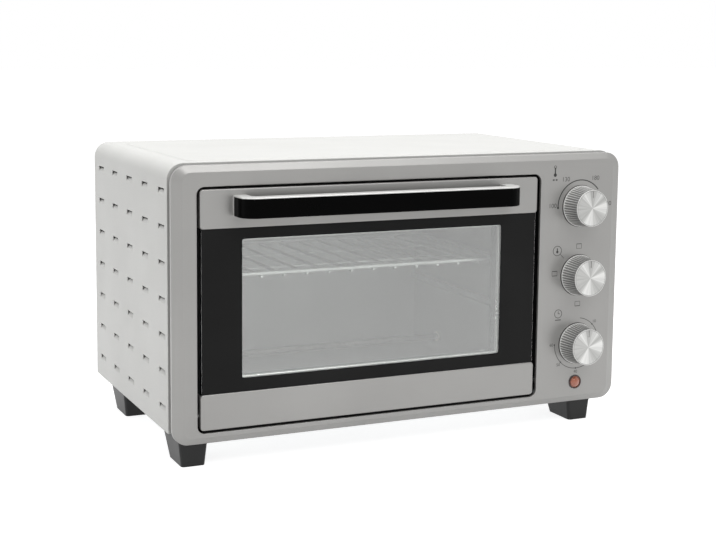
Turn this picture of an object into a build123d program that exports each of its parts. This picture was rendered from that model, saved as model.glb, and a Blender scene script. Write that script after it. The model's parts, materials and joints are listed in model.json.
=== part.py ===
from build123d import *
import math
import os

# Mini oven with a drop-down glass door, three rotary controls and an indicator lamp.
# Millimetres. Working frame: x from the middle of the fascia to the right, y from the fascia's
# front face into the oven, z from the fascia's bottom edge up. Each piece is moved to the part's
# own frame, with its origin under the middle of the box, when it is written.

# Casing
casing_width = 450.0
fascia_height = 241.8
fascia_depth = 7.3
fascia_wall = 3.0
fascia_return = 4.0
fascia_corner = 14.5
bevel_side = 9.0
bevel_top = 5.8
bevel_depth = 3.5
bevel_corner = 8.0
cover_front = 14.6
cover_back = 258.5
cover_rise = 1.2
cover_bottom = 8.5
cover_corner = 14.5
cover_hem = 3.0
sheet = 0.8
frame_sheet = 1.0

# Raised field on the top of the cover
field_inset_side = 20.0
field_front = 22.0
field_inset_back = 27.5
field_corner = 16.0
field_rise = 1.0

# Louvres in the cover's sides
louvre_rows = 7
louvre_columns = 5
louvre_first_y = 31.4
louvre_back_margin = 26.3
louvre_first_z = 29.6
louvre_top_margin = 23.8
louvre_length = 18.0
louvre_slit = 1.6
louvre_slope = 3.4
louvre_press = 1.9

# Door and its opening
door_side_margin = 24.4
control_column = 93.0
door_bottom = 11.9
door_top_margin = 20.6
door_gap_left = 2.9
door_gap_right = 3.8
door_gap_end = 2.4
opening_corner = 7.0
trim_sheet = 1.2
trim_depth = 14.0
trim_corner = 3.0
trim_edge_round = 1.0
top_trim_height = 34.1
bottom_trim_height = 31.5
trim_overlap = 11.0
glass_thickness = 4.0
inner_frame_margin = 6.0
inner_frame_back = 20.0
window_margin_left = 36.1
window_margin_right = 36.0
window_margin_bottom = 41.5
window_margin_top = 41.9
window_corner = 2.5
reveal_back = 24.5

# Handle
handle_margin_left = 29.6
handle_margin_right = 29.0
handle_drop = 23.5
handle_height = 18.0
handle_reach = 26.0
handle_bar = 11.0
handle_post = 12.0
handle_bend = 14.0
handle_rim = 1.8
handle_edge_round = 0.9
handle_hollow_corner = 5.0
insert_thickness = 2.2
handle_screw_radius = 2.0
handle_screw_head = 3.8
handle_screw_head_height = 2.4
handle_screw_reach = 11.0

# Door hinge
hinge_y = 8.0
hinge_z = 24.0
pin_radius = 2.0
running_gap = 0.05
fixed_gap = 0.02
fit_gap = 0.05
pin_end_gap = 0.3
pin_hole_gap = 1.5
bracket_thickness = 3.0
bracket_height = 26.0
bracket_front = 3.5
bracket_back = 20.0
bracket_toe = 5.0
bracket_gap = 0.5
pin_in_door = 10.6

# Front frame behind the fascia
frame_inset = 3.0
frame_bottom = 4.5
frame_flange_back = 30.0
recess_side = 2.0
recess_back = 24.0

# Cavity
cavity_side_margin = 13.8
cavity_floor = 22.0
cavity_ceiling_margin = 5.2
cavity_back_gap = 33.5
cavity_corner = 6.0
cavity_flange = 8.0
ledge_reach = 7.0
ledge_height = 9.0
ledge_front = 30.0
ledge_back_gap = 7.0
ledge_spacing = 42.0

# Wire rack
rack_drop = 75.0
rack_front = 32.0
rack_back_gap = 15.0
rack_side_gap = 3.0
rack_rod_radius = 2.0
rack_wire_radius = 1.25
rack_wires = 12
rack_wire_margin = 28.5
rack_cross_inset = 55.0
rack_cross_overhang = 6.0
rack_corner = 12.0
rack_weld = 0.5
rack_clearance = 0.3

# Heating elements
element_radius = 3.25
element_front_inset = 51.0
element_back_inset = 55.0
upper_element_drop = 19.0
lower_element_rise = 14.0
insulator_radius = 5.0
insulator_inside = 2.0
insulator_outside = 8.0
terminal_radius = 1.5
terminal_length = 12.0

# Heat shield beside the cavity
shield_gap = 1.0
shield_front_inset = 16.0
shield_back_gap = 13.5
shield_rise = 8.0
shield_foot = 14.0

# Controls
control_inset = 45.0
top_knob_drop = 50.2
bottom_knob_z = 58.0
knob_base_radius = 19.6
knob_front_radius = 17.2
knob_reach = 21.0
knob_gap = 0.8
knob_ring = 1.0
knob_flutes = 48
flute_depth = 0.55
flute_margin = 0.25
cap_radius = 16.4
cap_thickness = 1.2
pointer_width = 2.0
pointer_length = 6.5
pointer_depth = 0.7
shaft_radius = 3.0
shaft_in_knob = 14.0
shaft_in_control = 16.0
bush_wall = 1.6
bush_hole_gap = 0.4
bush_front_gap = 0.5
hub_wall = 2.6
shaft_end_gap = 0.5
knob_wall = 2.2
thermostat_size = (34.0, 19.0, 26.0)
thermostat_capsule_radius = 11.0
thermostat_capsule = 5.0
switch_size = (38.0, 22.0, 38.0)
timer_size = (48.0, 26.0, 44.0)
bell_radius = 20.0
bell_stem_radius = 3.0
bell_stem = 6.0
blade_width = 6.3
blade_thickness = 0.8
blade_length = 8.0

# Indicator lamp
lamp_inset = 45.4
lamp_z = 19.8
bezel_radius = 6.6
bezel_reach = 0.9
lens_radius = 5.5
lens_reach = 3.2
lens_barrel = 8.0
lamp_body_length = 24.0
lamp_body_wall = 0.6
lamp_bottom = 6.0

# Feet
foot_height = 22.5
foot_inset_left = 22.3
foot_inset_right = 31.0
foot_bottom_width = 21.5
foot_top_width = 28.5
foot_bottom_length = 36.5
front_foot_y = 14.0
rear_foot_gap = 29.7
foot_taper_inner = 13.0
foot_corner = 3.0
foot_lead_front = 1.0
foot_lead_rear = 3.0
foot_screw_offset = 2.0
foot_notch_gap = 0.5
foot_screw_radius = 2.0
foot_screw_head = 4.0
foot_screw_head_height = 2.6
foot_screw_beyond = 3.0
foot_counterbore = 9.0
foot_counterbore_gap = 0.5

# Back panel and cord gland
gland_inset = 43.0
gland_z = 46.0
gland_radius = 9.0
gland_neck_radius = 6.5
gland_bore_radius = 3.6
gland_reach = 5.0
gland_barb = 1.2
gland_inside = 5.0
gland_lip = 2.0
gland_shoulder = 2.5
vent_length = 34.0
vent_height = 3.0
vent_rows = 4
vent_columns = 4
vent_pitch_x = 56.0
vent_pitch_z = 10.0
vent_top_gap = 53.0
control_vent_top_gap = 123.0

# Base pan
pan_lip = 11.0
pan_slot_rows = 4
pan_slot_columns = 5
pan_slot_first_y = 100.0
pan_slot_pitch_y = 18.0

# Places that follow from the sizes above
half_width = casing_width / 2
cover_top = fascia_height + cover_rise
field_back = cover_back - field_inset_back
louvre_pitch_y = (cover_back - louvre_back_margin - louvre_first_y) / (louvre_columns - 1)
louvre_pitch_z = (cover_top - louvre_top_margin - louvre_first_z) / (louvre_rows - 1)
door_left = -half_width + door_side_margin
door_right = half_width - control_column
door_top = fascia_height - door_top_margin
window_left = door_left + window_margin_left
window_right = door_right - window_margin_right
window_bottom = door_bottom + window_margin_bottom
window_top = door_top - window_margin_top
handle_left = door_left + handle_margin_left
handle_right = door_right - handle_margin_right
handle_bottom = door_top - handle_drop
opening_left = door_left - door_gap_left
opening_right = door_right + door_gap_right
opening_bottom = door_bottom - door_gap_end
opening_top = door_top + door_gap_end
door_middle = (door_left + door_right) / 2
cavity_left = door_left + cavity_side_margin
cavity_right = door_right - cavity_side_margin
cavity_width = cavity_right - cavity_left
cavity_ceiling = door_top - cavity_ceiling_margin
cavity_back = cover_back - cavity_back_gap
ledge_back = cavity_back - ledge_back_gap
recess_left = opening_left - recess_side
recess_right = opening_right + recess_side
recess_top = opening_top + recess_side
glass_front = trim_sheet
glass_back = glass_front + glass_thickness
rack_half_width = cavity_width / 2 - rack_side_gap
rack_z = cavity_ceiling - rack_drop
rack_back = cavity_back - rack_back_gap
rack_wire_reach = rack_half_width - rack_wire_margin
element_rows_y = (recess_back + element_front_inset, cavity_back - element_back_inset)
upper_element_z = cavity_ceiling - upper_element_drop
lower_element_z = cavity_floor + lower_element_rise
control_x = half_width - control_inset
top_knob_z = fascia_height - top_knob_drop
knob_heights = {
    "temperature": top_knob_z,
    "function": (top_knob_z + bottom_knob_z) / 2,
    "timer": bottom_knob_z,
}
bush_radius = shaft_radius + bush_wall
hub_radius = shaft_radius + hub_wall
lamp_x = half_width - lamp_inset
lamp_body_radius = lens_radius + fit_gap + lamp_body_wall
lamp_hole_radius = lamp_body_radius + fit_gap
foot_left_x = -half_width + foot_inset_left
foot_right_x = half_width - foot_inset_right
rear_foot_back = cover_back - rear_foot_gap
gland_x = half_width - gland_inset
frame_front = fascia_depth
frame_plate_back = frame_front + frame_sheet
overall_front = -handle_reach
overall_back = cover_back + gland_reach
front_y = -(overall_front + overall_back) / 2


def block(x0, x1, y0, y1, z0, z1):
    """Box between two corners."""
    centre = Pos((x0 + x1) / 2, (y0 + y1) / 2, (z0 + z1) / 2)
    return centre * Box(x1 - x0, y1 - y0, z1 - z0)


def outline(x0, x1, z0, z1, y, corner):
    """Rounded rectangle that stands at depth y and faces the back."""
    place = Plane(origin=((x0 + x1) / 2, y, (z0 + z1) / 2), x_dir=(1, 0, 0), z_dir=(0, 1, 0))
    return place * RectangleRounded(x1 - x0, z1 - z0, corner)


def slab(x0, x1, z0, z1, y0, y1, corner):
    """Upright plate with rounded corners, from depth y0 to depth y1."""
    return extrude(outline(x0, x1, z0, z1, y0, corner), y1 - y0)


def ring(x0, x1, z0, z1, y0, y1, corner, wall):
    """Wall of even thickness inside a rounded rectangle."""
    outside = slab(x0, x1, z0, z1, y0, y1, corner)
    inner_corner = max(corner - wall, 0.3)
    return outside - slab(x0 + wall, x1 - wall, z0 + wall, z1 - wall, y0 - 1, y1 + 1, inner_corner)


def rod_x(x0, x1, y, z, radius):
    """Round rod from left to right."""
    return Pos((x0 + x1) / 2, y, z) * Rot(0, 90, 0) * Cylinder(radius, x1 - x0)


def rod_y(x, z, y0, y1, radius):
    """Round rod from front to back."""
    return Pos(x, (y0 + y1) / 2, z) * Rot(90, 0, 0) * Cylinder(radius, y1 - y0)


def rod_z(x, y, z0, z1, radius):
    """Round rod that stands upright."""
    return Pos(x, y, (z0 + z1) / 2) * Cylinder(radius, z1 - z0)


def turned(points, x, z):
    """Turned piece on an axis from front to back; points are radius and depth."""
    section = make_face(Polyline(*points, close=True))
    return Pos(x, 0, z) * revolve(section, Axis.Y)


def along_x(points, x0, x1):
    """Prism from left to right; points are depth and height."""
    section = make_face(Polyline(*[(x0, y, z) for y, z in points], close=True))
    return extrude(section, x1 - x0, dir=(1, 0, 0))


def along_y(points, y0, y1):
    """Prism from front to back; points are x and height."""
    section = make_face(Polyline(*[(x, y0, z) for x, z in points], close=True))
    return extrude(section, y1 - y0, dir=(0, 1, 0))


def louvre_places():
    """Depth and height of each louvre on one side of the cover."""
    for row in range(louvre_rows):
        for column in range(louvre_columns):
            y = louvre_first_y + column * louvre_pitch_y
            z = louvre_first_z + row * louvre_pitch_z
            yield y, z


def louvre_lip(side, y, z):
    """Strip below a slit, bent into the casing at its top edge."""
    outer = side * half_width
    inner = outer - side * sheet
    press = side * louvre_press
    root = z - louvre_slope
    seat = root - sheet / 4
    outer_face = [(outer, seat), (outer, root), (outer - press, z)]
    inner_face = [(inner - press, z), (inner, root), (inner, seat)]
    return along_y(outer_face + inner_face, y - louvre_length / 2, y + louvre_length / 2)


def louvre_cut(side, y, z):
    """Hole that the slit and its bent strip take out of the sheet."""
    outer = side * (half_width + 1)
    inner = side * (half_width - 2 * sheet)
    x0, x1 = sorted((outer, inner))
    return block(x0, x1, y - louvre_length / 2, y + louvre_length / 2, z - louvre_slope, z + louvre_slit)


def make_outer_cover():
    """One folded sheet over the top and both sides, hemmed at the front, with louvres."""
    below = cover_bottom - 2 * cover_corner
    shell = slab(-half_width, half_width, below, cover_top, cover_front, cover_back, cover_corner)
    inside = slab(-half_width + sheet, half_width - sheet, below - 1, cover_top - sheet,
                  cover_front + sheet, cover_back + 1, cover_corner - sheet)
    mouth = slab(-half_width + cover_hem, half_width - cover_hem, below - 1, cover_top - cover_hem,
                 cover_front - 1, cover_front + 2 * sheet, cover_corner - cover_hem)
    half_field = half_width - field_inset_side
    field = raised_field(half_field, field_front, field_back, field_corner,
                         cover_top - sheet / 2, field_rise + sheet / 2)
    hollow = raised_field(half_field - sheet, field_front + sheet, field_back - sheet,
                          field_corner - sheet, cover_top - 2 * sheet, field_rise + sheet)
    cover = shell + field - inside - mouth - hollow
    cover -= block(-half_width - 1, half_width + 1, cover_front - 1, cover_back + 1, below - 1, cover_bottom)
    sides = (-1, 1)
    cover -= [louvre_cut(side, y, z) for side in sides for y, z in louvre_places()]
    cover += [louvre_lip(side, y, z) for side in sides for y, z in louvre_places()]
    return cover


def raised_field(half, front, back, corner, z, height):
    """Low raised rectangle with sloping edges."""
    slope = 2 * height
    middle = (front + back) / 2
    lower = Plane(origin=(0, middle, z)) * RectangleRounded(2 * half, back - front, corner)
    upper = Plane(origin=(0, middle, z + height)) * RectangleRounded(
        2 * (half - slope), back - front - 2 * slope, corner - slope)
    return loft([lower, upper], ruled=True)


def make_fascia():
    """Front panel with bevelled edges, the door opening and the control holes."""
    face_side = half_width - bevel_side
    face = outline(-face_side, face_side, bevel_top, fascia_height - bevel_top, 0, bevel_corner)
    edge = outline(-half_width, half_width, 0, fascia_height, bevel_depth, fascia_corner)
    fascia = loft([face, edge], ruled=True)
    fascia += slab(-half_width, half_width, 0, fascia_height, bevel_depth, fascia_depth, fascia_corner)
    side = half_width - fascia_return
    fascia -= slab(-side, side, fascia_return, fascia_height - fascia_return, fascia_wall, fascia_depth + 1,
                   fascia_corner - fascia_return)
    fascia -= slab(opening_left, opening_right, opening_bottom, opening_top,
                   -1, fascia_depth + 1, opening_corner)
    for z in knob_heights.values():
        fascia -= rod_y(control_x, z, -1, fascia_depth + 1, bush_radius + bush_hole_gap)
    fascia -= rod_y(lamp_x, lamp_z, -1, fascia_depth + 1, lamp_hole_radius)
    return fascia


def make_front_frame():
    """Steel frame behind the fascia: carries the cover, the cavity, the hinges and the controls."""
    side = half_width - frame_inset
    top = cover_top - cover_hem
    corner = cover_corner - frame_inset
    plate = slab(-side, side, frame_bottom, top, frame_front, frame_plate_back, corner)
    plate -= slab(recess_left, recess_right, opening_bottom, recess_top,
                  frame_front - 1, recess_back, opening_corner)
    rim = ring(-side, side, frame_bottom, top, frame_front, frame_flange_back, corner, frame_sheet)
    rim -= block(-half_width, half_width, cover_front, frame_flange_back + 1, 0, cover_bottom + frame_sheet)
    wall_left = recess_left - frame_sheet
    wall_right = recess_right + frame_sheet
    wall_bottom = opening_bottom - frame_sheet
    wall_top = recess_top + frame_sheet
    wall_corner = opening_corner + frame_sheet
    walls = (wall_left, wall_right, wall_bottom, wall_top)
    recess = ring(*walls, frame_front, recess_back, wall_corner, frame_sheet)
    floor = slab(*walls, recess_back - frame_sheet, recess_back, wall_corner)
    floor -= slab(cavity_left, cavity_right, cavity_floor, cavity_ceiling, 0, recess_back + 1, cavity_corner)
    frame = plate + rim + recess + floor
    bracket_space = bracket_thickness + bracket_gap
    for x in (wall_left, wall_right):
        frame -= block(x - bracket_space, x + bracket_space, frame_front - 1, frame_plate_back,
                       hinge_z - bracket_height / 2, hinge_z + bracket_height / 2 + bracket_gap)
        frame -= rod_x(x - bracket_space, x + bracket_space, hinge_y, hinge_z, pin_radius + pin_hole_gap)
    for z in knob_heights.values():
        frame -= rod_y(control_x, z, frame_front - 1, frame_plate_back + 1, bush_radius + fit_gap)
    frame -= rod_y(lamp_x, lamp_z, frame_front - 1, frame_plate_back + 1, lamp_hole_radius)
    return frame


def make_base_pan():
    """Bottom sheet with upturned edges, vent slots and holes for the foot screws."""
    side = half_width - sheet
    plate_top = cover_bottom + frame_sheet
    lip_top = plate_top + pan_lip
    back = cover_back - frame_sheet
    pan = block(-side, side, recess_back, back, cover_bottom, plate_top)
    tongue_front = cover_front + sheet + fit_gap
    wall_space = frame_sheet + fit_gap
    pan += block(-side, recess_left - wall_space, tongue_front, recess_back, cover_bottom, plate_top)
    pan += block(recess_right + wall_space, side, tongue_front, recess_back, cover_bottom, plate_top)
    for x0 in (-side, side - frame_sheet):
        pan += block(x0, x0 + frame_sheet, recess_back, back, cover_bottom, lip_top)
    pan += block(-side, side, back - frame_sheet, back, cover_bottom, lip_top)
    for row in range(pan_slot_rows):
        y = pan_slot_first_y + row * pan_slot_pitch_y
        for column in range(pan_slot_columns):
            x = door_middle + (column - (pan_slot_columns - 1) / 2) * vent_pitch_x
            pan -= Pos(x, y, plate_top) * Box(vent_length, vent_height, 4 * frame_sheet)
    pan -= [rod_z(x, y, 0, 20, foot_screw_radius + fit_gap) for x, y in foot_screw_places()]
    return pan


def make_back_panel():
    """Rear sheet inside the cover, with rows of vent slots and the hole for the cord gland."""
    side = half_width - sheet
    front = cover_back - frame_sheet
    bottom = cover_bottom - 2 * cover_corner
    panel = slab(-side, side, bottom, cover_top - sheet, front, cover_back, cover_corner - sheet)
    panel -= block(-half_width, half_width, front - 1, cover_back + 1, bottom - 1, cover_bottom)
    places = []
    for row in range(vent_rows):
        for column in range(vent_columns):
            x = door_middle + (column - (vent_columns - 1) / 2) * vent_pitch_x
            places.append((x, cover_top - vent_top_gap + row * vent_pitch_z))
    for row in range(2 * vent_rows):
        places.append((control_x, cover_top - control_vent_top_gap + row * vent_pitch_z))
    half = vent_length / 2
    panel -= [block(x - half, x + half, front - 1, cover_back + 1, z, z + vent_height) for x, z in places]
    panel -= rod_y(gland_x, gland_z, front - 1, cover_back + 1, gland_neck_radius + fit_gap)
    return panel


def make_cord_gland():
    """Moulded bush that snaps into the back panel, with the hole that the cord leaves by."""
    inside = cover_back - frame_sheet
    points = [
        (gland_bore_radius, inside - gland_inside),
        (gland_neck_radius + gland_barb, inside - gland_inside),
        (gland_neck_radius + gland_barb, inside),
        (gland_neck_radius, inside),
        (gland_neck_radius, cover_back),
        (gland_radius, cover_back),
        (gland_radius, cover_back + gland_lip),
        (gland_radius - gland_shoulder, cover_back + gland_reach),
        (gland_bore_radius, cover_back + gland_reach),
    ]
    return turned(points, gland_x, gland_z)


def ledge(side, top):
    """Pressed runner on one cavity wall, open on its outer side, with a flat top for the rack."""
    wall = door_middle + side * cavity_width / 2
    tip = wall - side * ledge_reach
    middle = top - ledge_height / 2
    outer = [
        (wall + side * sheet, top - ledge_height),
        (wall, top - ledge_height),
        (tip, middle),
        (tip, top),
        (wall + side * sheet, top),
    ]
    core = [
        (wall + side * 2 * sheet, top - ledge_height + sheet),
        (wall, top - ledge_height + 1.4 * sheet),
        (tip + side * sheet, middle + sheet / 2),
        (tip + side * sheet, top - sheet),
        (wall + side * 2 * sheet, top - sheet),
    ]
    return along_y(outer, ledge_front, ledge_back), along_y(core, ledge_front + sheet, ledge_back - sheet)


def make_cavity_liner():
    """Open-fronted box with a front flange, three pairs of runners and holes for the elements."""
    outside = slab(cavity_left - sheet, cavity_right + sheet, cavity_floor - sheet, cavity_ceiling + sheet,
                   recess_back, cavity_back + sheet, cavity_corner + sheet)
    inside = slab(cavity_left, cavity_right, cavity_floor, cavity_ceiling,
                  recess_back - 1, cavity_back, cavity_corner)
    flange = slab(cavity_left - cavity_flange, cavity_right + cavity_flange, cavity_floor - cavity_flange,
                  cavity_ceiling + cavity_flange, recess_back, recess_back + sheet, cavity_corner)
    liner = outside + flange - inside
    rack_rest = rack_z - rack_rod_radius - rack_clearance
    for side in (-1, 1):
        for level in (-1, 0, 1):
            rib, core = ledge(side, rack_rest + level * ledge_spacing)
            liner += rib
            liner -= core
    for y in element_rows_y:
        for z in (upper_element_z, lower_element_z):
            liner -= rod_x(cavity_left - 5, cavity_right + 5, y, z, insulator_radius + fit_gap)
    return liner


def make_heat_shield():
    """Upright sheet between the cavity and the control space, standing on the base pan."""
    left = cavity_right + sheet + insulator_outside + shield_gap
    front = recess_back + shield_front_inset
    back = cover_back - shield_back_gap
    bottom = cover_bottom + frame_sheet
    shield = block(left, left + sheet, front, back, bottom, cavity_ceiling + shield_rise)
    shield += block(left, left + shield_foot, front, back, bottom, bottom + sheet)
    for y in element_rows_y:
        for z in (upper_element_z, lower_element_z):
            shield -= rod_x(left - 1, left + 2, y, z, 3 * terminal_radius)
    return shield


def make_heating_element(y, z):
    """Straight tube across the cavity, with a thin terminal at each end."""
    left = cavity_left - sheet - insulator_outside
    right = cavity_right + sheet + insulator_outside
    tube = rod_x(left, right, y, z, element_radius)
    return tube + rod_x(left - terminal_length, right + terminal_length, y, z, terminal_radius)


def make_element_insulators():
    """Ceramic bushes that carry the elements in the cavity walls, two for each element."""
    bushes = []
    for y in element_rows_y:
        for z in (upper_element_z, lower_element_z):
            for x0, x1 in ((cavity_left - sheet - insulator_outside, cavity_left + insulator_inside),
                           (cavity_right - insulator_inside, cavity_right + sheet + insulator_outside)):
                bore = rod_x(x0 - 1, x1 + 1, y, z, element_radius + fit_gap)
                bushes.append(rod_x(x0, x1, y, z, insulator_radius) - bore)
    return Compound(bushes)


def make_wire_rack():
    """Rod frame with welded wires under it, whose ends show below the front rod."""
    left = door_middle - rack_half_width + rack_rod_radius
    right = door_middle + rack_half_width - rack_rod_radius
    place = Plane(origin=(door_middle, (rack_front + rack_back) / 2, rack_z))
    path = place * RectangleRounded(right - left, rack_back - rack_front, rack_corner)
    wire = path.wires()[0]
    start = wire @ 0
    section = Plane(origin=start, z_dir=wire % 0) * Circle(rack_rod_radius)
    rack = sweep(section, path=wire)
    wire_z = rack_z - rack_rod_radius - rack_wire_radius + rack_weld
    overhang = rack_rod_radius / 2
    for n in range(rack_wires):
        x = door_middle + (2 * n / (rack_wires - 1) - 1) * rack_wire_reach
        rack += rod_y(x, wire_z, rack_front - overhang, rack_back + overhang, rack_wire_radius)
    cross_z = wire_z - rack_wire_radius * 2 + rack_weld
    reach = rack_wire_reach + rack_cross_overhang
    for y in (rack_front + rack_cross_inset, rack_back - rack_cross_inset):
        rack += rod_x(door_middle - reach, door_middle + reach, y, cross_z, rack_wire_radius)
    return rack


def make_door_trim(bottom, top, wall_at_top):
    """Painted metal strip across the door: front, one long edge and both ends, open inside."""
    trim = slab(door_left, door_right, bottom, top, 0, trim_depth, trim_corner)
    front_edges = trim.edges().filter_by(lambda edge: abs(edge.center().Y) < 0.01)
    trim = fillet(front_edges, trim_edge_round)
    low = bottom - 1 if wall_at_top else bottom + trim_sheet
    high = top - trim_sheet if wall_at_top else top + 1
    trim -= block(door_left + trim_sheet, door_right - trim_sheet, trim_sheet, trim_depth + 1, low, high)
    return trim


def make_door_top_trim():
    trim = make_door_trim(door_top - top_trim_height, door_top, True)
    for x, z in handle_screw_places():
        trim -= rod_y(x, z, -1, trim_sheet + 1, handle_screw_radius + fit_gap)
    return trim


def make_door_bottom_trim():
    trim = make_door_trim(door_bottom, door_bottom + bottom_trim_height, False)
    for x in (door_left, door_right):
        trim -= rod_x(x - 2, x + 2, hinge_y, hinge_z, pin_radius + fixed_gap)
    return trim


def make_door_glass():
    """Single pane behind both trims; its border is printed black."""
    bottom = door_bottom + bottom_trim_height - trim_overlap
    top = door_top - top_trim_height + trim_overlap
    return slab(door_left + trim_sheet, door_right - trim_sheet, bottom, top, glass_front, glass_back, 1.0)


def make_door_inner_frame():
    """Pressed pan behind the glass, with a deep flange round the window and a rim that stiffens it."""
    left = door_left + trim_sheet
    right = door_right - trim_sheet
    bottom = door_bottom + inner_frame_margin
    top = door_top - inner_frame_margin
    front = glass_back
    back = front + frame_sheet
    plate = slab(left, right, bottom, top, front, back, 1.5)
    plate += ring(left, right, bottom, top, front, inner_frame_back, 1.5, frame_sheet)
    window = slab(window_left, window_right, window_bottom, window_top,
                  front - 1, reveal_back + 1, window_corner)
    reveal = slab(window_left - frame_sheet, window_right + frame_sheet, window_bottom - frame_sheet,
                  window_top + frame_sheet, front, reveal_back, window_corner + frame_sheet)
    pan = plate + reveal - window
    pan -= rod_x(left - 5, left + pin_in_door, hinge_y, hinge_z, pin_radius + fixed_gap)
    pan -= rod_x(right - pin_in_door, right + 5, hinge_y, hinge_z, pin_radius + fixed_gap)
    return pan


def handle_plan(grow):
    """Outline of the handle from above, drawn in by grow on its outer side."""
    x0 = handle_left + grow
    x1 = handle_right - grow
    front = -handle_reach + grow
    bend = handle_bend - grow
    corner = bend * (1 - 0.5 ** 0.5)
    outer = [
        Line((x0, 0), (x0, front + bend)),
        ThreePointArc((x0, front + bend), (x0 + corner, front + corner), (x0 + bend, front)),
        Line((x0 + bend, front), (x1 - bend, front)),
        ThreePointArc((x1 - bend, front), (x1 - corner, front + corner), (x1, front + bend)),
        Line((x1, front + bend), (x1, 0)),
        Line((x1, 0), (x0, 0)),
    ]
    return make_face(Curve() + outer)


def handle_hollow_plan():
    """Finger space between the bar, its two ends and the door."""
    x0 = handle_left + handle_post
    x1 = handle_right - handle_post
    front = -handle_reach + handle_bar
    middle = Pos((x0 + x1) / 2, front / 2 + 3, 0)
    return middle * RectangleRounded(x1 - x0, -front + 6, handle_hollow_corner)


def make_handle_solids():
    """Bright bar and the black strip let into its front, which follows the bends at both ends."""
    z0 = handle_bottom
    z1 = z0 + handle_height
    bar = Pos(0, 0, z0) * extrude(handle_plan(0), handle_height)
    edges = bar.edges().filter_by(lambda edge: min(edge.center().Z - z0, z1 - edge.center().Z) < 0.01)
    bar = fillet(edges.filter_by(lambda edge: edge.center().Y < -0.01), handle_edge_round)
    bar -= Pos(0, 0, z0 - 1) * extrude(handle_hollow_plan(), handle_height + 2)
    strip_plan = handle_plan(0) - handle_plan(insert_thickness)
    strip = Pos(0, 0, z0 + handle_rim) * extrude(strip_plan, handle_height - 2 * handle_rim)
    strip -= block(handle_left - 1, handle_right + 1, -handle_reach + handle_bend, 1, z0 - 1, z1 + 1)
    bar -= strip
    for x, z in handle_screw_places():
        bar -= rod_y(x, z, -handle_screw_reach - 1, 1, handle_screw_radius + fit_gap)
    return bar, strip


def handle_screw_places():
    """Middle of each end of the handle."""
    z = handle_bottom + handle_height / 2
    return [(handle_left + handle_post / 2, z), (handle_right - handle_post / 2, z)]


def make_handle_screws():
    """Screws from inside the door into the handle's ends."""
    screws = []
    for x, z in handle_screw_places():
        head = rod_y(x, z, trim_sheet, trim_sheet + handle_screw_head_height, handle_screw_head)
        screws.append(head + rod_y(x, z, -handle_screw_reach, trim_sheet + 1, handle_screw_radius))
    return Compound(screws)


def make_hinge_pins():
    """Stub pins fixed in the door's lower corners."""
    reach = recess_side + frame_sheet + bracket_thickness - pin_end_gap
    left = rod_x(opening_left - reach, door_left + pin_in_door, hinge_y, hinge_z, pin_radius)
    right = rod_x(door_right - pin_in_door, opening_right + reach, hinge_y, hinge_z, pin_radius)
    return left, right


def make_hinge_bracket(x0):
    """Bearing plate fixed on the outside of the recess wall, with the bore that a pin turns in."""
    x1 = x0 + bracket_thickness
    points = [
        (bracket_front, hinge_z - bracket_height / 2),
        (bracket_back, hinge_z - bracket_height / 2),
        (bracket_back, hinge_z + bracket_height / 2),
        (hinge_y + pin_radius, hinge_z + bracket_height / 2),
        (bracket_front, hinge_z + bracket_toe),
    ]
    return along_x(points, x0, x1) - rod_x(x0 - 1, x1 + 1, hinge_y, hinge_z, pin_radius + running_gap)


def fluted_section(radius, y):
    """Section across a knob's grip: ridges at the radius, with a V-shaped flute between each two."""
    points = []
    for n in range(2 * knob_flutes):
        reach = radius if n % 2 == 0 else radius - flute_depth
        angle = math.pi * n / knob_flutes
        points.append((control_x + reach * math.cos(angle), y, reach * math.sin(angle)))
    return make_face(Polyline(*points, close=True))


def make_knob(z):
    """Fluted grip that narrows towards the front, hollow from behind, with a hub on the shaft."""
    front = -knob_reach
    back = -knob_gap
    front_grip = knob_front_radius - flute_margin
    base_grip = knob_base_radius - flute_margin
    front_section = fluted_section(front_grip, front + knob_ring)
    base_section = fluted_section(base_grip, back - knob_ring)
    knob = Pos(0, 0, z) * loft([front_section, base_section], ruled=True)
    knob += rod_y(control_x, z, front, front + knob_ring, knob_front_radius)
    knob += rod_y(control_x, z, back - knob_ring, back, knob_base_radius)
    knob -= rod_y(control_x, z, front - 1, front + cap_thickness, cap_radius)
    inner_front = front + cap_thickness + knob_wall
    hollow = [
        (hub_radius, inner_front),
        (front_grip - flute_depth - knob_wall, inner_front),
        (base_grip - flute_depth - knob_wall, back + 1),
        (0, back + 1),
        (0, back - knob_ring),
        (hub_radius, back - knob_ring),
    ]
    knob -= turned(hollow, control_x, z)
    return knob - rod_y(control_x, z, -shaft_in_knob - fit_gap, 0, shaft_radius + fixed_gap)


def make_knob_cap(z):
    """Spun metal disc let into the knob's front, with a pointer notch at the top."""
    front = -knob_reach
    cap = rod_y(control_x, z, front, front + cap_thickness, cap_radius - fit_gap)
    top = z + cap_radius
    half = pointer_width / 2
    notch_bottom = top - pointer_length
    return cap - block(control_x - half, control_x + half, front - 1, front + pointer_depth, notch_bottom, top + 1)


def make_shaft(z):
    """Spindle from the control into the knob."""
    return rod_y(control_x, z, -shaft_in_knob, frame_plate_back + shaft_in_control, shaft_radius)


def control_case(z, size):
    """Case behind the front frame with a bush that centres it in the frame's hole."""
    width, depth, height = size
    front = frame_plate_back
    left = control_x - width / 2
    case = block(left, left + width, front, front + depth, z - height / 2, z + height / 2)
    return case + rod_y(control_x, z, fascia_wall + bush_front_gap, front + 1, bush_radius)


def shaft_bore(z):
    """Blind bore that the spindle turns in."""
    bottom = frame_plate_back + shaft_in_control + shaft_end_gap
    return rod_y(control_x, z, 0, bottom, shaft_radius + running_gap)


def blade(x, z, y):
    """Flat terminal that stands out of the back of a case."""
    left = x - blade_width / 2
    bottom = z - blade_thickness / 2
    return block(left, left + blade_width, y - 1, y + blade_length, bottom, bottom + blade_thickness)


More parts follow.
